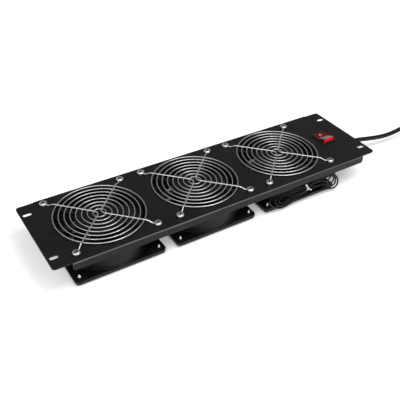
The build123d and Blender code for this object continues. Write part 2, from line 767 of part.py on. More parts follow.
def make_hank():
    sections = []
    for x, y, z, half_y, half_z in hank_stations:
        station = Plane(origin=(x, y, z), x_dir=(0, 1, 0), z_dir=(1, 0, 0))
        sections.append(station * Ellipse(half_y, half_z))
    return loft(sections)


def make_hank_tie():
    x, y, z, half_y, half_z = hank_stations[tied_station]
    outset = hank_tie_gap + hank_tie_thickness
    inner = Ellipse(half_y + hank_tie_gap, half_z + hank_tie_gap)
    outer = Ellipse(half_y + outset, half_z + outset)
    station = Plane(origin=(x, y, z), x_dir=(0, 1, 0), z_dir=(1, 0, 0))
    return extrude(station * (outer - inner), hank_tie_width / 2, both=True)


def make_lead_boss(x, side):
    boss = Cylinder(lead_boss_diameter / 2, lead_boss_length + 1, rotation=(90, 0, 0),
                    align=(Align.CENTER, Align.CENTER, Align.MIN))
    boss = Pos(0, 1 - barrel_outer_radius, lead_exit_level) * boss
    barrel = upright(Circle(barrel_outer_radius), fan_bottom, fan_top)
    return Pos(x, 0, 0) * (Rot(0, 0, side * lead_exit_angle) * boss - barrel)


def make_lead_bosses():
    sides = (1, 1, -1)
    return Compound(children=[make_lead_boss(x, side) for x, side in zip(fan_xs, sides)])


def make_lead_clips():
    width = clip_room + 2 * clip_wall
    ring = RectangleRounded(width, clip_height, clip_corner_radius)
    ring -= Rectangle(clip_room, clip_height - 2 * clip_wall)
    ring = extrude(Plane.YZ * ring, clip_length / 2, both=True)
    back = panel_thickness - panel_height / 2 + width / 2
    level = fan_top - clip_height / 2
    gaps = [(a + b) / 2 for a, b in zip(fan_xs, fan_xs[1:])]
    return Compound(children=[Pos(x, back, level) * ring for x in (*gaps, last_clip_x)])


def make_parts():
    save(make_panel(), "panel")
    for name, x in zip(fan_names, fan_xs):
        barrel, flanges = make_fan_frame(x)
        save(barrel, f"fan_frame_{name}")
        save(flanges, f"fan_flanges_{name}")
        save(make_motor_seat(x), f"motor_seat_{name}")
        save(make_bearings(x), f"bearings_{name}")
        save(make_stator(x), f"stator_{name}")
        save(make_impeller(x), f"impeller_{name}")
        save(make_rotor(x), f"rotor_cup_{name}")
        save(make_shaft(x), f"shaft_{name}")
        save(make_upper_guard(x), f"upper_guard_{name}")
        save(make_lower_guard(x), f"lower_guard_{name}")
        save(make_upper_screws(x), f"upper_screws_{name}")
        save(make_upper_nuts(x), f"upper_nuts_{name}")
        save(make_lower_screws(x), f"lower_screws_{name}")
    save(make_switch_body(), "switch_body")
    save(make_switch_rocker(), "switch_rocker")
    save(make_switch_lamp(), "switch_lamp")
    save(make_switch_terminals(), "switch_terminals")
    save(make_terminal_cover(), "terminal_cover")
    save(make_cord_relief(), "cord_relief")
    save(make_lead_grommet(), "lead_grommet")
    coil = make_coil()
    cord_out = make_tube(cord_route_out, cord_diameter, "power cord to coil") - coil
    cord_in = make_tube(cord_route_in, cord_diameter, "power cord to plug") - coil
    save(Compound(children=[cord_out, cord_in]), "power_cord")
    save(coil, "cord_coil")
    save(make_coil_ties(), "coil_ties")
    save(make_plug_body(), "plug_body")
    save(make_plug_pins(), "plug_pins")
    hank = make_hank()
    save(hank, "lead_hank")
    save(make_hank_tie(), "hank_tie")
    save(make_tube(left_lead_route, lead_diameter, "left lead"), "lead_left")
    save(make_tube(middle_lead_route, lead_diameter, "middle lead"), "lead_middle")
    lead_from_hank = make_tube(hank_lead_route, lead_diameter, "hank to cover") - hank
    lead_to_hank = make_tube(hank_end_route, lead_diameter, "fan to hank") - hank
    save(Compound(children=[lead_to_hank, lead_from_hank]), "lead_right")
    save(make_lead_bosses(), "lead_bosses")
    save(make_lead_clips(), "lead_clips")


make_parts()
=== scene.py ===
from math import cos, radians, sin, sqrt

import bmesh
import bpy
from mathutils import Matrix, Vector


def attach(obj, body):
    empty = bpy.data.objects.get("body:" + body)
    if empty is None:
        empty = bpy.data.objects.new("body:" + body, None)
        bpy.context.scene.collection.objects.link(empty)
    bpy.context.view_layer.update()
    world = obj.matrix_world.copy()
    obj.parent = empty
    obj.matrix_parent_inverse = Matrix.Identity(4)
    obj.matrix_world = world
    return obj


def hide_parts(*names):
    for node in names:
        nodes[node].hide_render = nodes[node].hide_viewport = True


# The fan panel: its guards, rocker marks, cords and leads are made here, and its other nodes get their finish
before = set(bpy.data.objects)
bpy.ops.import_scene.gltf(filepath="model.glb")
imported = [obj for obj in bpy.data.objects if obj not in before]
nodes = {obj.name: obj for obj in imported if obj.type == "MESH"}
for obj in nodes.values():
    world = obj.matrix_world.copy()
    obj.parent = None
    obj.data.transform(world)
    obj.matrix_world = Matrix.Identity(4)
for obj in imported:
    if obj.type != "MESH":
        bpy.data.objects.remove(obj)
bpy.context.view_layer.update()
scene = bpy.context.scene
scene.view_settings.view_transform = "Standard"
MM = 0.001
MICRON = 0.000001

# Names, places and sizes of the object's own parts, in metres
fan_names = ("left", "middle", "right")
fan_xs = (-0.1562, -0.0204, 0.1154)
switch_place = (0.201, 0.001)
cord_diameter = 0.007
lead_diameter = 0.0022

# The camera stands where the photograph was taken from, in metres, with its film and lens in millimetres
camera_place = Vector((-0.37203, -0.56364, 0.51853))
camera_aim = Vector((-0.0349, -0.0367, 0.0439))
camera_roll = radians(1.44)
camera_lens = 55.79
film_width = 36.0
nearest_seen = 0.01


def place_camera():
    data = bpy.data.cameras.new("camera")
    data.lens = camera_lens
    data.sensor_width = film_width
    data.clip_start = nearest_seen
    camera = bpy.data.objects.new("camera", data)
    scene.collection.objects.link(camera)
    facing = (camera_aim - camera_place).to_track_quat("-Z", "Y").to_matrix()
    camera.matrix_world = (facing @ Matrix.Rotation(camera_roll, 3, "Z")).to_4x4()
    camera.location = camera_place
    scene.camera = camera


place_camera()


# Shader building

def grey(value):
    return (value, value, value, 1.0)


def add(tree, kind, inputs=None, **settings):
    """Adds a shader node. An input that is another node's socket is linked, and any other one is set."""
    node = tree.nodes.new("ShaderNode" + kind)
    for name, value in settings.items():
        setattr(node, name, value)
    for socket, value in (inputs or {}).items():
        if isinstance(value, bpy.types.NodeSocket):
            tree.links.new(value, node.inputs[socket])
        else:
            node.inputs[socket].default_value = value
    return node


def maths(tree, operation, *values):
    return add(tree, "Math", dict(enumerate(values)), operation=operation).outputs[0]


def product(tree, first, *others):
    for other in others:
        first = maths(tree, "MULTIPLY", first, other)
    return first


def remap(tree, value, low, high, new_low=0.0, new_high=1.0):
    """Runs smoothly from new_low, where the value is low, to new_high, where it is high."""
    inputs = {"Value": value, "From Min": low, "From Max": high, "To Min": new_low, "To Max": new_high}
    return add(tree, "MapRange", inputs, interpolation_type="SMOOTHSTEP").outputs[0]


def mix_colour(tree, factor, first, second):
    inputs = {"Factor": factor, 6: first, 7: second}
    return add(tree, "Mix", inputs, data_type="RGBA").outputs[2]


def dot(tree, first, second):
    return add(tree, "VectorMath", {0: first, 1: second}, operation="DOT_PRODUCT").outputs["Value"]


def split(tree, vector):
    return add(tree, "SeparateXYZ", {0: vector}).outputs


def face_normal(tree):
    return add(tree, "NewGeometry").outputs["Normal"]


def object_place(tree):
    return add(tree, "TexCoord").outputs["Object"]


def object_noise(tree, scale, detail=3.0, roughness=0.55):
    inputs = {"Vector": object_place(tree), "Scale": scale, "Detail": detail, "Roughness": roughness}
    return add(tree, "TexNoise", inputs).outputs[0]


def shader_group(name, inputs, outputs):
    """Starts a node group of plain numbers: its inputs, with their first values, and its outputs."""
    tree = bpy.data.node_groups.new(name, "ShaderNodeTree")
    for label, value in inputs.items():
        socket = tree.interface.new_socket(label, in_out="INPUT", socket_type="NodeSocketFloat")
        socket.default_value = value
    for label in outputs:
        tree.interface.new_socket(label, in_out="OUTPUT", socket_type="NodeSocketFloat")
    return tree, tree.nodes.new("NodeGroupInput").outputs, tree.nodes.new("NodeGroupOutput").inputs


def place_group(tree, group, **values):
    node = tree.nodes.new("ShaderNodeGroup")
    node.node_tree = group
    for label, value in values.items():
        node.inputs[label].default_value = value
    return node.outputs


# Effects that several finishes share

def make_orange_peel():
    """The fine dimples of a coat, and broad cloudy patches in its shade."""
    tree, into, out = shader_group("orange peel", {"Scale": 700.0}, ["Height", "Shade"])
    tree.links.new(object_noise(tree, into["Scale"], detail=2.0), out["Height"])
    tree.links.new(remap(tree, object_noise(tree, scale=55.0), low=0.3, high=0.7), out["Shade"])
    return tree


def make_rubbed_edges():
    """A mask that is 1 where the surface turns sharply and has been rubbed."""
    tree, into, out = shader_group("rubbed edges", {"Width": 0.0006, "Amount": 1.0, "Scale": 260.0}, ["Mask"])
    rounded = add(tree, "Bevel", {"Radius": into["Width"]}, samples=4).outputs[0]
    turn = maths(tree, "SUBTRACT", 1.0, dot(tree, rounded, face_normal(tree)))
    edge = remap(tree, turn, low=0.02, high=0.16)
    patchy = remap(tree, object_noise(tree, into["Scale"], detail=4.0, roughness=0.65), low=0.42, high=0.66)
    tree.links.new(product(tree, edge, patchy, into["Amount"]), out["Mask"])
    return tree


def make_settled_dust():
    """A mask of the dust that settles on faces that look up."""
    tree, into, out = shader_group("settled dust", {"Amount": 0.2, "Scale": 90.0}, ["Mask"])
    facing_up = remap(tree, split(tree, face_normal(tree))["Z"], low=0.2, high=0.95)
    specks = remap(tree, object_noise(tree, into["Scale"], detail=8.0, roughness=0.8), low=0.5, high=0.75)
    tree.links.new(product(tree, facing_up, specks, into["Amount"]), out["Mask"])
    return tree


def make_painted_bend_highlight():
    """A mask of painted highlight on the long bends, where the sheet's face turns from up to sideways."""
    tree, into, out = shader_group("painted bend highlight", {"Amount": 1.0}, ["Mask"])
    parts = split(tree, face_normal(tree))
    turned = product(tree, maths(tree, "ABSOLUTE", parts["Y"]), parts["Z"], 2.0)
    uneven = remap(tree, object_noise(tree, scale=30.0, detail=2.0), low=0.3, high=0.7, new_low=0.7)
    bend_highlight = remap(tree, turned, low=0.55, high=1.0)
    tree.links.new(product(tree, bend_highlight, uneven, into["Amount"]), out["Mask"])
    return tree


def make_fine_scratches():
    """Two sets of hairlines that cross, and cloudy patches in their shade."""
    tree, into, out = shader_group("fine scratches", {"Scale": 1.0}, ["Height", "Shade"])
    place = object_place(tree)
    heights = []
    for turn, fineness in ((0.5, 2600.0), (2.1, 3400.0)):
        stretch = {"Vector": place, "Rotation": (0.0, 0.0, turn), "Scale": (fineness, 90.0, 400.0)}
        stretched = add(tree, "Mapping", stretch).outputs[0]
        hairlines = {"Vector": stretched, "Scale": into["Scale"], "Detail": 2.0}
        heights.append(add(tree, "TexNoise", hairlines).outputs[0])
    tree.links.new(maths(tree, "ADD", *heights), out["Height"])
    tree.links.new(remap(tree, object_noise(tree, scale=140.0, detail=4.0), low=0.3, high=0.72), out["Shade"])
    return tree


def make_moulded_grain():
    """The small cells of a moulded surface, and cloudy patches in its shade."""
    tree, into, out = shader_group("moulded grain", {"Scale": 1800.0}, ["Height", "Shade"])
    cells = add(tree, "TexVoronoi", {"Vector": object_place(tree), "Scale": into["Scale"]})
    tree.links.new(cells.outputs["Distance"], out["Height"])
    tree.links.new(remap(tree, object_noise(tree, scale=120.0), low=0.3, high=0.7), out["Shade"])
    return tree


orange_peel = make_orange_peel()
rubbed_edges = make_rubbed_edges()
settled_dust = make_settled_dust()
painted_bend_highlight = make_painted_bend_highlight()
fine_scratches = make_fine_scratches()
moulded_grain = make_moulded_grain()


# Finishes

# A lighter grey, a painted highlight along a coat's bends
bend_highlight_grey = grey(0.16)
dust_on_paint = grey(0.25)
dust_on_plastic = grey(0.3)
# A near-black grey, painted shade in recesses
painted_recess_shade = grey(0.02)


class Finish:
    """One material: a Principled shader whose textured values come from nodes."""

    def __init__(self, name, **plain):
        self.material = bpy.data.materials.new(name)
        self.material.use_nodes = True
        self.tree = self.material.node_tree
        self.shader = self.tree.nodes["Principled BSDF"]
        for label, value in plain.items():
            self.shader.inputs[label.replace("_", " ")].default_value = value

    def feed(self, socket, value):
        self.tree.links.new(value, self.shader.inputs[socket])

    def cover(self, colour, texture, rough, depth):
        """Feeds the colour, the texture's height as a bump that is microns deep, and the roughness.

        The two numbers of rough are the roughness where the texture's shade is 0 and where it is 1.
        """
        self.feed("Base Color", colour)
        self.feed("Roughness", remap(self.tree, texture["Shade"], 0.0, 1.0, *rough))
        inputs = {"Height": texture["Height"], "Distance": depth * MICRON, "Strength": 1.0}
        self.feed("Normal", add(self.tree, "Bump", inputs).outputs[0])
        return self.material


def make_coated(name, dark, light, rubbed, *, rough, peel, depth, dust, wear, bend_highlight=0.0, **plain):
    """Paint or powder coat over metal, rubbed at its edges, with a painted highlight along its bends where
    its amount is given, and with a little dust.
    """
    finish = Finish(name, **plain)
    tree = finish.tree
    coat = place_group(tree, orange_peel, Scale=peel)
    edges = place_group(tree, rubbed_edges, Amount=wear)
    film = place_group(tree, settled_dust, Amount=dust)
    colour = mix_colour(tree, coat["Shade"], dark, light)
    colour = mix_colour(tree, edges["Mask"], colour, rubbed)
    # Painted highlight: the colour turns lighter along the bends, where a lamp would shine on the coat
    if bend_highlight:
        turned = place_group(tree, painted_bend_highlight, Amount=bend_highlight)
        colour = mix_colour(tree, turned["Mask"], colour, bend_highlight_grey)
    colour = mix_colour(tree, film["Mask"], colour, dust_on_paint)
    return finish.cover(colour, coat, rough, depth)


def make_plated(name, dark, light, *, rough, depth, scale=1.0, painted_shade_reach=0.0):
    """Bright metal with fine scratches and cloudy patches and, where a reach is given, painted shade that
    darkens its recesses out to that reach.
    """
    finish = Finish(name, Metallic=1.0)
    tree = finish.tree
    marks = place_group(tree, fine_scratches, Scale=scale)
    colour = mix_colour(tree, marks["Shade"], dark, light)
    if painted_shade_reach:
        # Painted shade: the colour darkens where the surface is occluded, in recesses where shade falls
        recess_occlusion = add(tree, "AmbientOcclusion", {"Distance": painted_shade_reach}, samples=6).outputs["AO"]
        colour = mix_colour(tree, remap(tree, recess_occlusion, low=0.25, high=0.85), painted_recess_shade, colour)
    return finish.cover(colour, marks, rough, depth)


def make_moulded(name, dark, light, *, rough, grain, depth, dust=0.0, **plain):
    """Moulded plastic or rubber with a fine grain."""
    finish = Finish(name, **plain)
    tree = finish.tree
    surface = place_group(tree, moulded_grain, Scale=grain)
    film = place_group(tree, settled_dust, Amount=dust)
    colour = mix_colour(tree, surface["Shade"], dark, light)
    colour = mix_colour(tree, film["Mask"], colour, dust_on_plastic)
    return finish.cover(colour, surface, rough, depth)


def make_clear_red():
    """Clear red plastic, deep over the dark switch, with a painted glow of bright red on the raised end,
    where light would come in.
    """
    finish = Finish("rocker_red", Transmission_Weight=0.15, IOR=1.49, Specular_IOR_Level=0.25)
    tree = finish.tree
    surface = place_group(tree, moulded_grain, Scale=2600.0)
    deep = mix_colour(tree, surface["Shade"], (0.1, 0.001, 0.002, 1.0), (0.14, 0.002, 0.003, 1.0))
    painted_glow_red = (0.72, 0.006, 0.018, 1.0)
    # Painted light: faces that look to the front are made bright red, as if lit through the plastic
    painted_glow_mask = remap(tree, dot(tree, face_normal(tree), (0.0, -1.0, 0.0)), low=0.35, high=0.85)
    colour = mix_colour(tree, painted_glow_mask, deep, painted_glow_red)
    return finish.cover(colour, surface, rough=(0.2, 0.28), depth=2.0)


# The powder coat gets a painted highlight along its bends
powder_coat = make_coated("powder_coat", grey(0.007), grey(0.009), grey(0.05), rough=(0.36, 0.44), peel=900.0,
                          depth=40.0, dust=0.02, wear=0.5, bend_highlight=0.6, Specular_IOR_Level=0.18)
cast_paint = make_coated("cast_paint", grey(0.005), grey(0.008), grey(0.09), rough=(0.42, 0.54), peel=420.0,
                         depth=60.0, dust=0.03, wear=0.6, Specular_IOR_Level=0.2)
guard_coat = make_coated("guard_coat", grey(0.008), grey(0.011), grey(0.05), rough=(0.4, 0.5), peel=800.0,
                         depth=30.0, dust=0.05, wear=0.4, Specular_IOR_Level=0.3)
impeller_plastic = make_moulded("impeller_plastic", grey(0.0035), grey(0.005), rough=(0.5, 0.62),
                                grain=1500.0, depth=20.0, dust=0.02, Specular_IOR_Level=0.15)
guard_plating = make_plated("guard_plating", grey(0.6), grey(0.7), rough=(0.4, 0.3), depth=0.2)
# The screws get painted shade in the recesses of their heads
screw_plating = make_plated("screw_plating", grey(0.6), (0.74, 0.73, 0.7, 1.0), rough=(0.34, 0.24), depth=2.0,
                            painted_shade_reach=0.0025)
steel = make_plated("steel", grey(0.32), grey(0.42), rough=(0.42, 0.3), depth=10.0)
lamination = make_plated("lamination", (0.2, 0.19, 0.18, 1.0), (0.28, 0.27, 0.26, 1.0), rough=(0.55, 0.4),
                         depth=20.0, scale=3.0)
brass = make_plated("brass", (0.62, 0.52, 0.3, 1.0), (0.74, 0.66, 0.44, 1.0), rough=(0.34, 0.22), depth=6.0)
switch_plastic = make_moulded("switch_plastic", grey(0.008), grey(0.011), rough=(0.2, 0.3), grain=2200.0,
                              depth=6.0)
cover_plastic = make_moulded("cover_plastic", grey(0.009), grey(0.013), rough=(0.42, 0.52), grain=1300.0,
                             depth=30.0)
cord_jacket = make_moulded("cord_jacket", grey(0.005), grey(0.008), rough=(0.26, 0.36), grain=1100.0,
                           depth=10.0, Specular_IOR_Level=0.3)
lead_insulation = make_moulded("lead_insulation", grey(0.003), grey(0.005), rough=(0.24, 0.32), grain=2400.0,
                               depth=4.0, Specular_IOR_Level=0.12)
tie_plastic = make_moulded("tie_plastic", grey(0.012), grey(0.016), rough=(0.4, 0.5), grain=1500.0,
                           depth=10.0)
tie_paper = make_moulded("tie_paper", grey(0.72), grey(0.82), rough=(0.55, 0.7), grain=2600.0, depth=30.0)
rocker_red = make_clear_red()
mark_white = make_moulded("mark_white", grey(0.6), grey(0.7), rough=(0.4, 0.5), grain=2400.0, depth=4.0)
lamp_glass = make_moulded("lamp_glass", (0.9, 0.8, 0.72, 1.0), (0.95, 0.86, 0.8, 1.0), rough=(0.04, 0.08),
                          grain=900.0, depth=2.0, Transmission_Weight=0.9, IOR=1.5)

# The finish of each kind of node, where a fan's own nodes and leads have its name after their kind's
node_finishes = {
    "panel": powder_coat,
    "fan_frame": cast_paint,
    "fan_flanges": cast_paint,
    "motor_seat": cast_paint,
    "lead_bosses": cast_paint,
    "bearings": steel,
    "stator": lamination,
    "rotor_cup": steel,
    "shaft": steel,
    "impeller": impeller_plastic,
    "upper_guard": guard_plating,
    "lower_guard": guard_coat,
    "upper_screws": screw_plating,
    "upper_nuts": screw_plating,
    "lower_screws": screw_plating,
    "switch_body": switch_plastic,
    "switch_rocker": rocker_red,
    "switch_lamp": lamp_glass,
    "switch_terminals": brass,
    "terminal_cover": cover_plastic,
    "cord_relief": cord_jacket,
    "power_cord": cord_jacket,
    "cord_coil": cord_jacket,
    "coil_ties": tie_plastic,
    "plug_body": cord_jacket,
    "plug_pins": brass,
    "lead_grommet": cord_jacket,
    "lead_clips": tie_plastic,
    "lead": lead_insulation,
    "lead_hank": lead_insulation,
    "hank_tie": tie_paper,
}


def dress_nodes():
    """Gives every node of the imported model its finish."""
    for name, node in nodes.items():
        kind, _, last_word = name.rpartition("_")
        if last_word not in fan_names:
            kind = name
        node.data.materials.clear()
        node.data.materials.append(node_finishes[kind])


dress_nodes()


# Making pieces, whose shapes are in millimetres until they are done

wire_sides = 12
curve_roundness = 4


def place_piece(name, data, finish, body="root"):
    """Makes a piece of a mesh or curve in metres, which rides on a body and has a material slot."""
    piece = bpy.data.objects.new(name, data)
    scene.collection.objects.link(piece)
    data.materials.append(finish)
    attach(piece, body)
    return piece


def metre_mesh(name, bm):
    """Ends a millimetre bmesh as a mesh in metres."""
    bmesh.ops.scale(bm, verts=bm.verts[:], vec=(MM, MM, MM))
    mesh = bpy.data.meshes.new(name)
    bm.to_mesh(mesh)
    bm.free()
    return mesh


def smooth_piece(name, bm, finish, body="root"):
    """Makes a smooth piece of a closed millimetre bmesh."""
    bmesh.ops.recalc_face_normals(bm, faces=bm.faces[:])
    for face in bm.faces:
        face.smooth = True
    return place_piece(name, metre_mesh(name, bm), finish, body)


def spun_ring(bm, centre, radius, wire, steps):
    """A ring of round wire, turned about the vertical through its centre."""
    round_wire = bmesh.ops.create_circle(bm, segments=wire_sides, radius=wire / 2)["verts"]
    bmesh.ops.rotate(bm, verts=round_wire, cent=(0, 0, 0), matrix=Matrix.Rotation(radians(90), 3, "X"))
    bmesh.ops.translate(bm, verts=round_wire, vec=Vector(centre) + Vector((radius, 0, 0)))
    edges = list({e for v in round_wire for e in v.link_edges})
    bmesh.ops.spin(bm, geom=round_wire + edges, cent=centre, axis=(0, 0, 1), angle=radians(360), steps=steps,
                   use_merge=True)


def round_wires(name, routes, diameter, steps):
    """A curve of round wires or cords, one along each route, with its diameter in metres."""
    curve = bpy.data.curves.new(name, "CURVE")
    curve.dimensions = "3D"
    curve.bevel_depth = diameter / 2
    curve.bevel_resolution = curve_roundness
    curve.resolution_u = steps
    curve.use_fill_caps = True
    for route in routes:
        spline = curve.splines.new("NURBS")
        spline.points.add(len(route) - 1)
        for control, point in zip(spline.points, route):
            control.co = (*(Vector(point) * MM), 1.0)
        spline.order_u = 3
        spline.use_endpoint_u = True
    return curve


# Wire guards over the fans, in millimetres, with radii for rings and distances from the fan's axis for arms
guard_rings = 8
smallest_ring = 8.0
largest_ring = 56.7
ring_level = 46.7
ring_wire = 1.4
ring_steps = 96
eyelet_radius = 3.3
eyelet_offset = 52.5
eyelet_steps = 32
arm_wire = 1.8
arm_level = 47.8
foot_level = 44.8
arm_end = 70.95
step_foot = 66.5
step_head = 60.5
step_softness = 2.6
centre_bend = 16.0
arm_steps = 8


def arm_route(centre_x, side):
    """One bent wire that carries the rings, from a back eyelet to the centre and on to the front one."""
    half = [
        (arm_end, foot_level),
        (step_foot + step_softness, foot_level),
        (step_foot, foot_level),
        (step_head, arm_level),
        (step_head - step_softness, arm_level),
        (centre_bend, arm_level),
    ]
    stations = half + [(0.0, arm_level)] + [(-reach, level) for reach, level in reversed(half)]
    route = []
    for reach, level in stations:
        across = reach / sqrt(2)
        route.append((centre_x + side * abs(across), across, level))
    return route


def make_guard(name, centre_x):
    """The rings, the four eyelets and the two bent arms, in place of the upper guard of one fan."""
    bm = bmesh.new()
    pitch = (largest_ring - smallest_ring) / (guard_rings - 1)
    for i in range(guard_rings):
        spun_ring(bm, (centre_x, 0.0, ring_level), smallest_ring + i * pitch, ring_wire, ring_steps)
    for x in (-eyelet_offset, eyelet_offset):
        for y in (-eyelet_offset, eyelet_offset):
            spun_ring(bm, (centre_x + x, y, foot_level), eyelet_radius, arm_wire, eyelet_steps)
    rings = smooth_piece(f"guard_rings_{name}", bm, guard_plating)
    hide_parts(f"upper_guard_{name}")
    routes = [arm_route(centre_x, side) for side in (-1, 1)]
    wires = round_wires(f"guard_arms_{name}", routes, arm_wire * MM, arm_steps)
    arms = place_piece(f"guard_arms_{name}", wires, guard_plating)
    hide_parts(f"upper_guard_{name}")


for fan_name, fan_x in zip(fan_names, fan_xs):
    make_guard(fan_name, fan_x / MM)


# Rocker marks, in millimetres and degrees, on the two faces that slope down to the rocker's middle
pivot_level = 43.4
rocker_rest_tilt = -10.5
face_tilt = 10.85
face_middle = (6.0, 3.42)
mark_radius = 1.7
mark_line = 0.6
mark_rise = 0.35
mark_steps = 32
bar_length = 4.0


def seat_mark(name, bm, row):
    """Lays a flat mark on the rocker's back face, where row is 1, or its front face, where it is -1.

    A face's middle lies at face_middle from the pivot: so far to the back or front, and so high.
    """
    bmesh.ops.scale(bm, verts=bm.verts[:], vec=(1.0, 1.0, mark_rise))
    slope = Matrix.Rotation(radians(row * face_tilt), 4, "X")
    on_face = Matrix.Translation((0.0, row * face_middle[0], face_middle[1])) @ slope
    pivot = Matrix.Translation((switch_place[0] / MM, switch_place[1] / MM, pivot_level))
    at_rest = Matrix.Rotation(radians(rocker_rest_tilt), 4, "X")
    bmesh.ops.transform(bm, matrix=pivot @ at_rest @ on_face, verts=bm.verts[:])
    smooth_piece(name, bm, mark_white, "rocker")


def make_rocker_marks():
    ring = bmesh.new()
    spun_ring(ring, (0.0, 0.0, 0.0), mark_radius, mark_line, mark_steps)
    seat_mark("off_mark", ring, 1)
    bar = bmesh.new()
    bmesh.ops.create_cube(bar, size=1.0)
    bmesh.ops.scale(bar, verts=bar.verts[:], vec=(mark_line, bar_length, mark_line))
    bmesh.ops.bevel(bar, geom=bar.edges[:], offset=mark_line / 4, affect="EDGES", segments=2, profile=0.5,
                    material=-1)
    seat_mark("on_mark", bar, -1)


make_rocker_marks()


# The power cord, in millimetres and degrees, from the terminal cover round its coil and on to the plug
cord_steps = 6
cord_route_out = (
    (239.2, 1.0, 20.0),
    (256.0, 1.0, 20.0),
    (275.0, -0.4, 18.6),
    (299.0, -4.2, 15.8),
    (326.0, -7.4, 13.6),
    (352.0, -8.4, 15.6),
    (376.0, -8.2, 21.4),
    (399.0, -7.9, 26.0),
    (421.0, -7.7, 26.5),
)
cord_route_in = (
    (421.0, -92.3, 5.1),
    (405.0, -92.4, 5.4),
    (390.0, -92.9, 7.6),
    (377.0, -93.5, 9.9),
    (364.0, -93.6, 10.1),
)
coil_centre = (421.0, -50.0)
coil_mean_radius = 38.6
coil_cell = 7.15
coil_floor = 1.5
coil_turn = 292.5
coil_ramp = 40.0
coil_step = 22.5
coil_cells = ((1, 3), (-1, 3), (-1, 2), (1, 2), (1, 1), (-1, 1), (-1, 0), (1, 0))


def winding(cells, turn, ramp, step):
    """Angle, column and layer, step by step, along turns that fill the cells one after the other."""
    count = round(turn * len(cells) / step)
    stations = []
    for i in range(count + 1):
        angle = turn * len(cells) * i / count
        cell = min(int(angle / turn), len(cells) - 1)
        after = cells[min(cell + 1, len(cells) - 1)]
        share = max(0.0, (angle - cell * turn - turn + ramp) / ramp)
        share = share * share * (3 - 2 * share)
        column, layer = (a + (b - a) * share for a, b in zip(cells[cell], after))
        stations.append((angle, column, layer))
    return stations


def coil_points():
    """The put-away turns, clockwise seen from above, from the back of the top outer turn."""
    points = []
    for angle, column, layer in winding(coil_cells, coil_turn, coil_ramp, coil_step):
        radius = (coil_mean_radius + column * coil_cell / 2) / cos(radians(coil_step / 2))
        around = radians(90 - angle)
        level = coil_floor + (layer + 0.5) * coil_cell
        points.append((coil_centre[0] + radius * cos(around), coil_centre[1] + radius * sin(around), level))
    return points[1:-1]


def lay_power_cord():
    """Lays the power cord in place of its tubes and its coil."""
    route = (*cord_route_out, *coil_points(), *cord_route_in)
    curve = round_wires("mains_cord", [route], cord_diameter, cord_steps)
    cord = place_piece("mains_cord", curve, cord_jacket)
    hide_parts("power_cord", "cord_coil")


lay_power_cord()


# The fan leads, in millimetres. Each one leaves its boss on the barrel at 45 degrees to the front
boss_reach = 60.7
boss_level = 22.0
first_run = 5.0
grommet_front = -17.4


def boss_exit(fan_x, side, run=0.0):
    """The point of a fan where its lead leaves the boss, or a run of millimetres further out."""
    reach = (boss_reach + run) / sqrt(2)
    return (fan_x / MM + side * reach, -reach, boss_level)


left_lead_route = (
    boss_exit(fan_xs[0], 1),
    boss_exit(fan_xs[0], 1, first_run),
    (-105.5, -53.5, 27.0),
    (-101.0, -60.5, 34.2),
    (-92.5, -62.1, 39.4),
    (-75.0, -61.9, 39.9),
    (-38.0, -62.1, 40.0),
    (15.0, -61.9, 39.9),
    (70.0, -62.1, 40.0),
    (125.0, -61.9, 39.9),
    (160.0, -62.1, 40.0),
    (184.5, -62.0, 39.7),
    (192.5, -57.5, 36.0),
    (196.0, -47.0, 28.5),
    (196.5, -35.0, 22.0),
    (196.5, -24.5, 20.0),
    (196.5, grommet_front, 20.0),
)
middle_lead_route = (
    boss_exit(fan_xs[1], 1),
    boss_exit(fan_xs[1], 1, first_run),
    (30.0, -53.5, 26.5),
    (35.5, -60.6, 33.0),
    (44.5, -62.1, 36.8),
    (60.0, -61.9, 37.1),
    (92.0, -62.1, 37.0),
    (135.0, -61.9, 37.1),
    (165.0, -62.1, 37.0),
    (185.5, -62.0, 36.6),
    (196.5, -57.0, 32.0),
    (200.5, -46.0, 25.5),
    (201.0, -35.0, 21.0),
    (201.0, -25.0, 20.0),
    (201.0, grommet_front, 20.0),
)
# The right-hand fan's lead is looped up and tied in front of its fan
hank_end_route = (
    boss_exit(fan_xs[2], -1),
    boss_exit(fan_xs[2], -1, first_run),
    (66.8, -53.6, 21.4),
    (66.6, -59.2, 19.6),
    (69.2, -61.3, 15.2),
    (75.4, -60.9, 12.4),
    (84.5, -60.5, 11.3),
    (95.0, -60.4, 12.6),
    (104.0, -60.5, 16.2),
    (112.0, -60.8, 21.2),
)
smallest_turn = (
    (120.7, -61.6, 22.6),
    (131.0, -61.9, 24.2),
    (141.9, -62.6, 25.3),
    (150.5, -63.4, 23.2),
    (157.0, -63.9, 19.4),
    (162.8, -64.1, 15.6),
    (167.3, -64.1, 16.3),
    (169.4, -64.1, 21.3),
    (167.2, -63.9, 26.6),
    (162.0, -63.9, 29.4),
    (152.0, -63.9, 29.3),
    (141.0, -63.8, 28.0),
    (130.0, -63.8, 25.4),
    (120.7, -64.0, 22.6),
    (109.5, -64.0, 24.6),
    (98.0, -63.9, 26.4),
    (87.0, -63.8, 26.6),
    (79.0, -63.7, 25.2),
    (73.2, -63.6, 21.8),
    (72.8, -63.4, 16.4),
    (77.6, -63.1, 12.9),
    (85.3, -62.9, 12.2),
    (95.0, -62.8, 14.0),
    (104.0, -62.7, 17.2),
    (112.0, -62.4, 19.4),
)
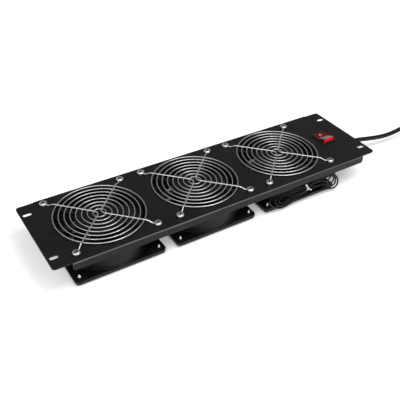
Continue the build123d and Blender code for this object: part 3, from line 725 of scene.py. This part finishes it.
middle_turn = (
    (120.7, -61.6, 20.3),
    (131.0, -62.2, 21.0),
    (142.0, -63.3, 19.8),
    (150.0, -64.0, 18.1),
    (156.5, -64.1, 15.8),
    (163.0, -64.1, 11.8),
    (168.2, -64.1, 9.6),
    (172.2, -64.1, 11.3),
    (173.6, -64.1, 16.6),
    (171.6, -64.1, 22.8),
    (167.6, -64.0, 28.4),
    (160.0, -64.0, 31.7),
    (149.0, -64.0, 31.7),
    (138.0, -64.0, 30.2),
    (129.0, -64.0, 27.8),
    (120.7, -64.0, 24.9),
    (107.6, -64.0, 28.8),
    (92.6, -64.1, 31.4),
    (78.0, -64.2, 32.0),
    (66.0, -64.3, 31.5),
    (57.6, -64.3, 28.6),
    (55.6, -64.3, 22.8),
    (59.8, -64.3, 16.6),
    (66.4, -64.3, 10.2),
    (75.0, -64.2, 5.7),
    (84.0, -64.1, 4.9),
    (94.5, -64.0, 7.6),
    (105.7, -63.9, 10.3),
)
largest_turn = (
    (119.8, -63.9, 9.6),
    (134.7, -64.0, 11.4),
    (147.0, -64.1, 9.9),
    (158.5, -64.2, 8.2),
    (167.0, -64.2, 5.5),
    (172.8, -64.2, 4.5),
    (177.4, -64.1, 7.6),
    (178.6, -63.9, 13.9),
    (176.4, -63.2, 20.6),
    (170.8, -62.3, 27.4),
    (165.0, -61.7, 31.4),
    (154.0, -61.6, 32.2),
    (142.0, -61.6, 31.2),
    (130.0, -61.6, 28.0),
    (120.7, -61.6, 24.9),
    (108.0, -61.7, 27.2),
    (95.0, -61.8, 29.2),
    (84.0, -62.0, 29.4),
    (75.0, -62.4, 27.4),
    (68.4, -62.9, 23.8),
    (66.6, -63.5, 17.6),
    (70.4, -63.8, 12.2),
    (77.0, -64.0, 9.4),
    (87.0, -64.1, 8.9),
    (97.3, -64.2, 10.9),
    (104.6, -64.3, 14.4),
    (112.0, -64.3, 18.2),
)
hank_lead_route = (
    (120.7, -64.0, 20.3),
    (131.0, -63.3, 18.5),
    (142.0, -62.2, 17.2),
    (154.0, -61.6, 17.4),
    (163.0, -61.0, 21.4),
    (170.0, -59.9, 26.6),
    (178.5, -59.0, 29.6),
    (188.0, -55.0, 28.0),
    (195.5, -48.5, 22.5),
    (202.0, -40.0, 19.6),
    (205.5, -32.5, 19.4),
    (205.5, -25.5, 20.0),
    (205.5, grommet_front, 20.0),
)
right_lead_route = (*hank_end_route, *smallest_turn, *middle_turn, *largest_turn, *hank_lead_route)

# The twist tie, in millimetres: a band round the loops' neck, then a twisted neck that forks into two tips
tie_place = (120.7, -62.8, 22.6)
tie_half_depth = 2.9
tie_half_height = 4.3
tie_width = 2.4
tie_sides = 40
tie_thickness = 0.45
neck_start = (120.5, -65.8, 22.2)
neck_width = tie_width * 0.8
fork_place = (121.0, -67.2, 23.6)
tip_width = tie_width * 0.72
tip_places = ((115.4, -66.2, 31.4), (126.6, -66.6, 19.0))


def twisted_tail(bm, start, end, width, turns, steps):
    """A ribbon that twists from start to end, grown one short step after the other."""
    along = Vector(end) - Vector(start)
    across = along.cross(Vector((0.0, 1.0, 0.0))).normalized() * width / 2
    edge = bm.edges.new([bm.verts.new(Vector(start) - across), bm.verts.new(Vector(start) + across)])
    turn = Matrix.Rotation(radians(360.0 * turns / steps), 3, along)
    for _ in range(steps):
        grown = bmesh.ops.extrude_edge_only(bm, edges=[edge])["geom"]
        corners = [g for g in grown if isinstance(g, bmesh.types.BMVert)]
        edge = next(g for g in grown if isinstance(g, bmesh.types.BMEdge))
        bmesh.ops.translate(bm, verts=corners, vec=along / steps)
        middle = (corners[0].co + corners[1].co) / 2
        bmesh.ops.rotate(bm, verts=corners, cent=middle, matrix=turn)


def make_twist_tie():
    """A paper-covered wire round the loops' neck, its two ends twisted together and bent apart."""
    bm = bmesh.new()
    loop = bmesh.ops.create_circle(bm, segments=tie_sides, radius=1.0)["verts"]
    bmesh.ops.rotate(bm, verts=loop, cent=(0, 0, 0), matrix=Matrix.Rotation(radians(90), 3, "Y"))
    bmesh.ops.scale(bm, verts=loop, vec=(1.0, tie_half_depth, tie_half_height))
    bmesh.ops.translate(bm, verts=loop, vec=(-tie_width / 2, 0, 0))
    band = bmesh.ops.extrude_edge_only(bm, edges=bm.edges[:])["geom"]
    rim = [g for g in band if isinstance(g, bmesh.types.BMVert)]
    bmesh.ops.translate(bm, verts=rim, vec=(tie_width, 0, 0))
    bmesh.ops.translate(bm, verts=bm.verts[:], vec=tie_place)
    twisted_tail(bm, neck_start, fork_place, neck_width, turns=1.5, steps=10)
    for tip in tip_places:
        twisted_tail(bm, fork_place, tip, tip_width, turns=0.6, steps=12)
    tie = place_piece("twist_tie", metre_mesh("twist_tie", bm), tie_paper)
    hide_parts("hank_tie")
    wall = tie.modifiers.new("paper", "SOLIDIFY")
    wall.thickness = tie_thickness * MM
    wall.offset = 0.0
    return tie


def lay_lead(name, route, *stands_for, length, lay="loose", with_pieces=()):
    """Lays a fan's lead in place of the nodes that it stands for. Its real length in metres is not used."""
    curve = round_wires(name, [route], lead_diameter, cord_steps)
    lead = place_piece(name, curve, lead_insulation)
    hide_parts(*stands_for)


lay_lead("left_fan_lead", left_lead_route, "lead_left", length=0.366)
lay_lead("middle_fan_lead", middle_lead_route, "lead_middle", length=0.231)
lay_lead("right_fan_lead", right_lead_route, "lead_right", "lead_hank", length=0.916, lay="coiled",
         with_pieces=[make_twist_tie()])


# The floor and its sweep, in metres
floor_size = 40.0
floor_level = -0.0002
floor_lift = 0.3
sweep_start = 0.28
sweep_end = 0.7
fan_shade = 0.061
fan_shade_edge = 0.006


def make_floor():
    """A pale floor that also glows where it is seen directly, in a mirror or through glass.

    Its glow rises from floor_lift beside the object to white where the sweep ends. It is off in a square
    under each fan, where the fan keeps the light away.
    """
    bm = bmesh.new()
    bmesh.ops.create_grid(bm, x_segments=1, y_segments=1, size=floor_size)
    mesh = bpy.data.meshes.new("floor")
    bm.to_mesh(mesh)
    bm.free()
    floor = bpy.data.objects.new("floor", mesh)
    floor.location.z = floor_level
    scene.collection.objects.link(floor)
    finish = Finish("floor_paper", Roughness=0.9, Emission_Color=grey(1.0))
    tree = finish.tree
    finish.feed("Base Color", mix_colour(tree, object_noise(tree, scale=40.0), grey(0.93), grey(0.95)))
    path = add(tree, "LightPath").outputs
    seen = maths(tree, "MAXIMUM", path["Is Camera Ray"], path["Is Glossy Ray"])
    seen = maths(tree, "MAXIMUM", seen, path["Is Transmission Ray"])
    place = object_place(tree)
    away = add(tree, "VectorMath", {0: place}, operation="LENGTH").outputs["Value"]
    glow = remap(tree, away, sweep_start, sweep_end, floor_lift, 1.0)
    parts = split(tree, place)
    for fan_x in fan_xs:
        from_centre = maths(tree, "ABSOLUTE", maths(tree, "SUBTRACT", parts["X"], fan_x))
        reach = maths(tree, "MAXIMUM", from_centre, maths(tree, "ABSOLUTE", parts["Y"]))
        glow = product(tree, glow, remap(tree, reach, fan_shade - fan_shade_edge, fan_shade))
    finish.feed("Emission Strength", product(tree, seen, glow))
    mesh.materials.append(finish.material)


make_floor()


# The world: walls that are bright towards bright_side and dim away from it, and white at the floor's edge
bright_side = (-0.54, -0.84, 0.1)
bright_wall = 0.9
dim_wall = 0.22
wall_turn = (-0.15, 0.6)
horizon_fade = (0.06, 0.2)


def make_world():
    world = bpy.data.worlds.new("studio")
    world.use_nodes = True
    scene.world = world
    tree = world.node_tree
    tree.nodes.clear()
    direction = add(tree, "TexCoord").outputs["Generated"]
    walls = remap(tree, dot(tree, direction, bright_side), *wall_turn, dim_wall, bright_wall)
    low_band = remap(tree, split(tree, direction)["Z"], *horizon_fade, 1.0, 0.0)
    strength = maths(tree, "MAXIMUM", walls, low_band)
    background = add(tree, "Background", {"Color": grey(1.0), "Strength": strength}).outputs[0]
    add(tree, "OutputWorld", {"Surface": background})


make_world()


# Two round soft lamps, with places and sizes in metres and power in watts
lamp_aim = Vector((0.0, 0.0, 0.03))


def soft_lamp(name, place, size, power):
    data = bpy.data.lights.new(name, "AREA")
    data.shape = "DISK"
    data.size = size
    data.energy = power
    lamp = bpy.data.objects.new(name, data)
    scene.collection.objects.link(lamp)
    lamp.matrix_world = (lamp_aim - Vector(place)).to_track_quat("-Z", "Y").to_matrix().to_4x4()
    lamp.location = place


soft_lamp("top_lamp", place=(0.42, -0.5, 1.5), size=1.0, power=14.0)
soft_lamp("side_lamp", place=(-1.0, -0.62, 1.2), size=0.8, power=5.0)
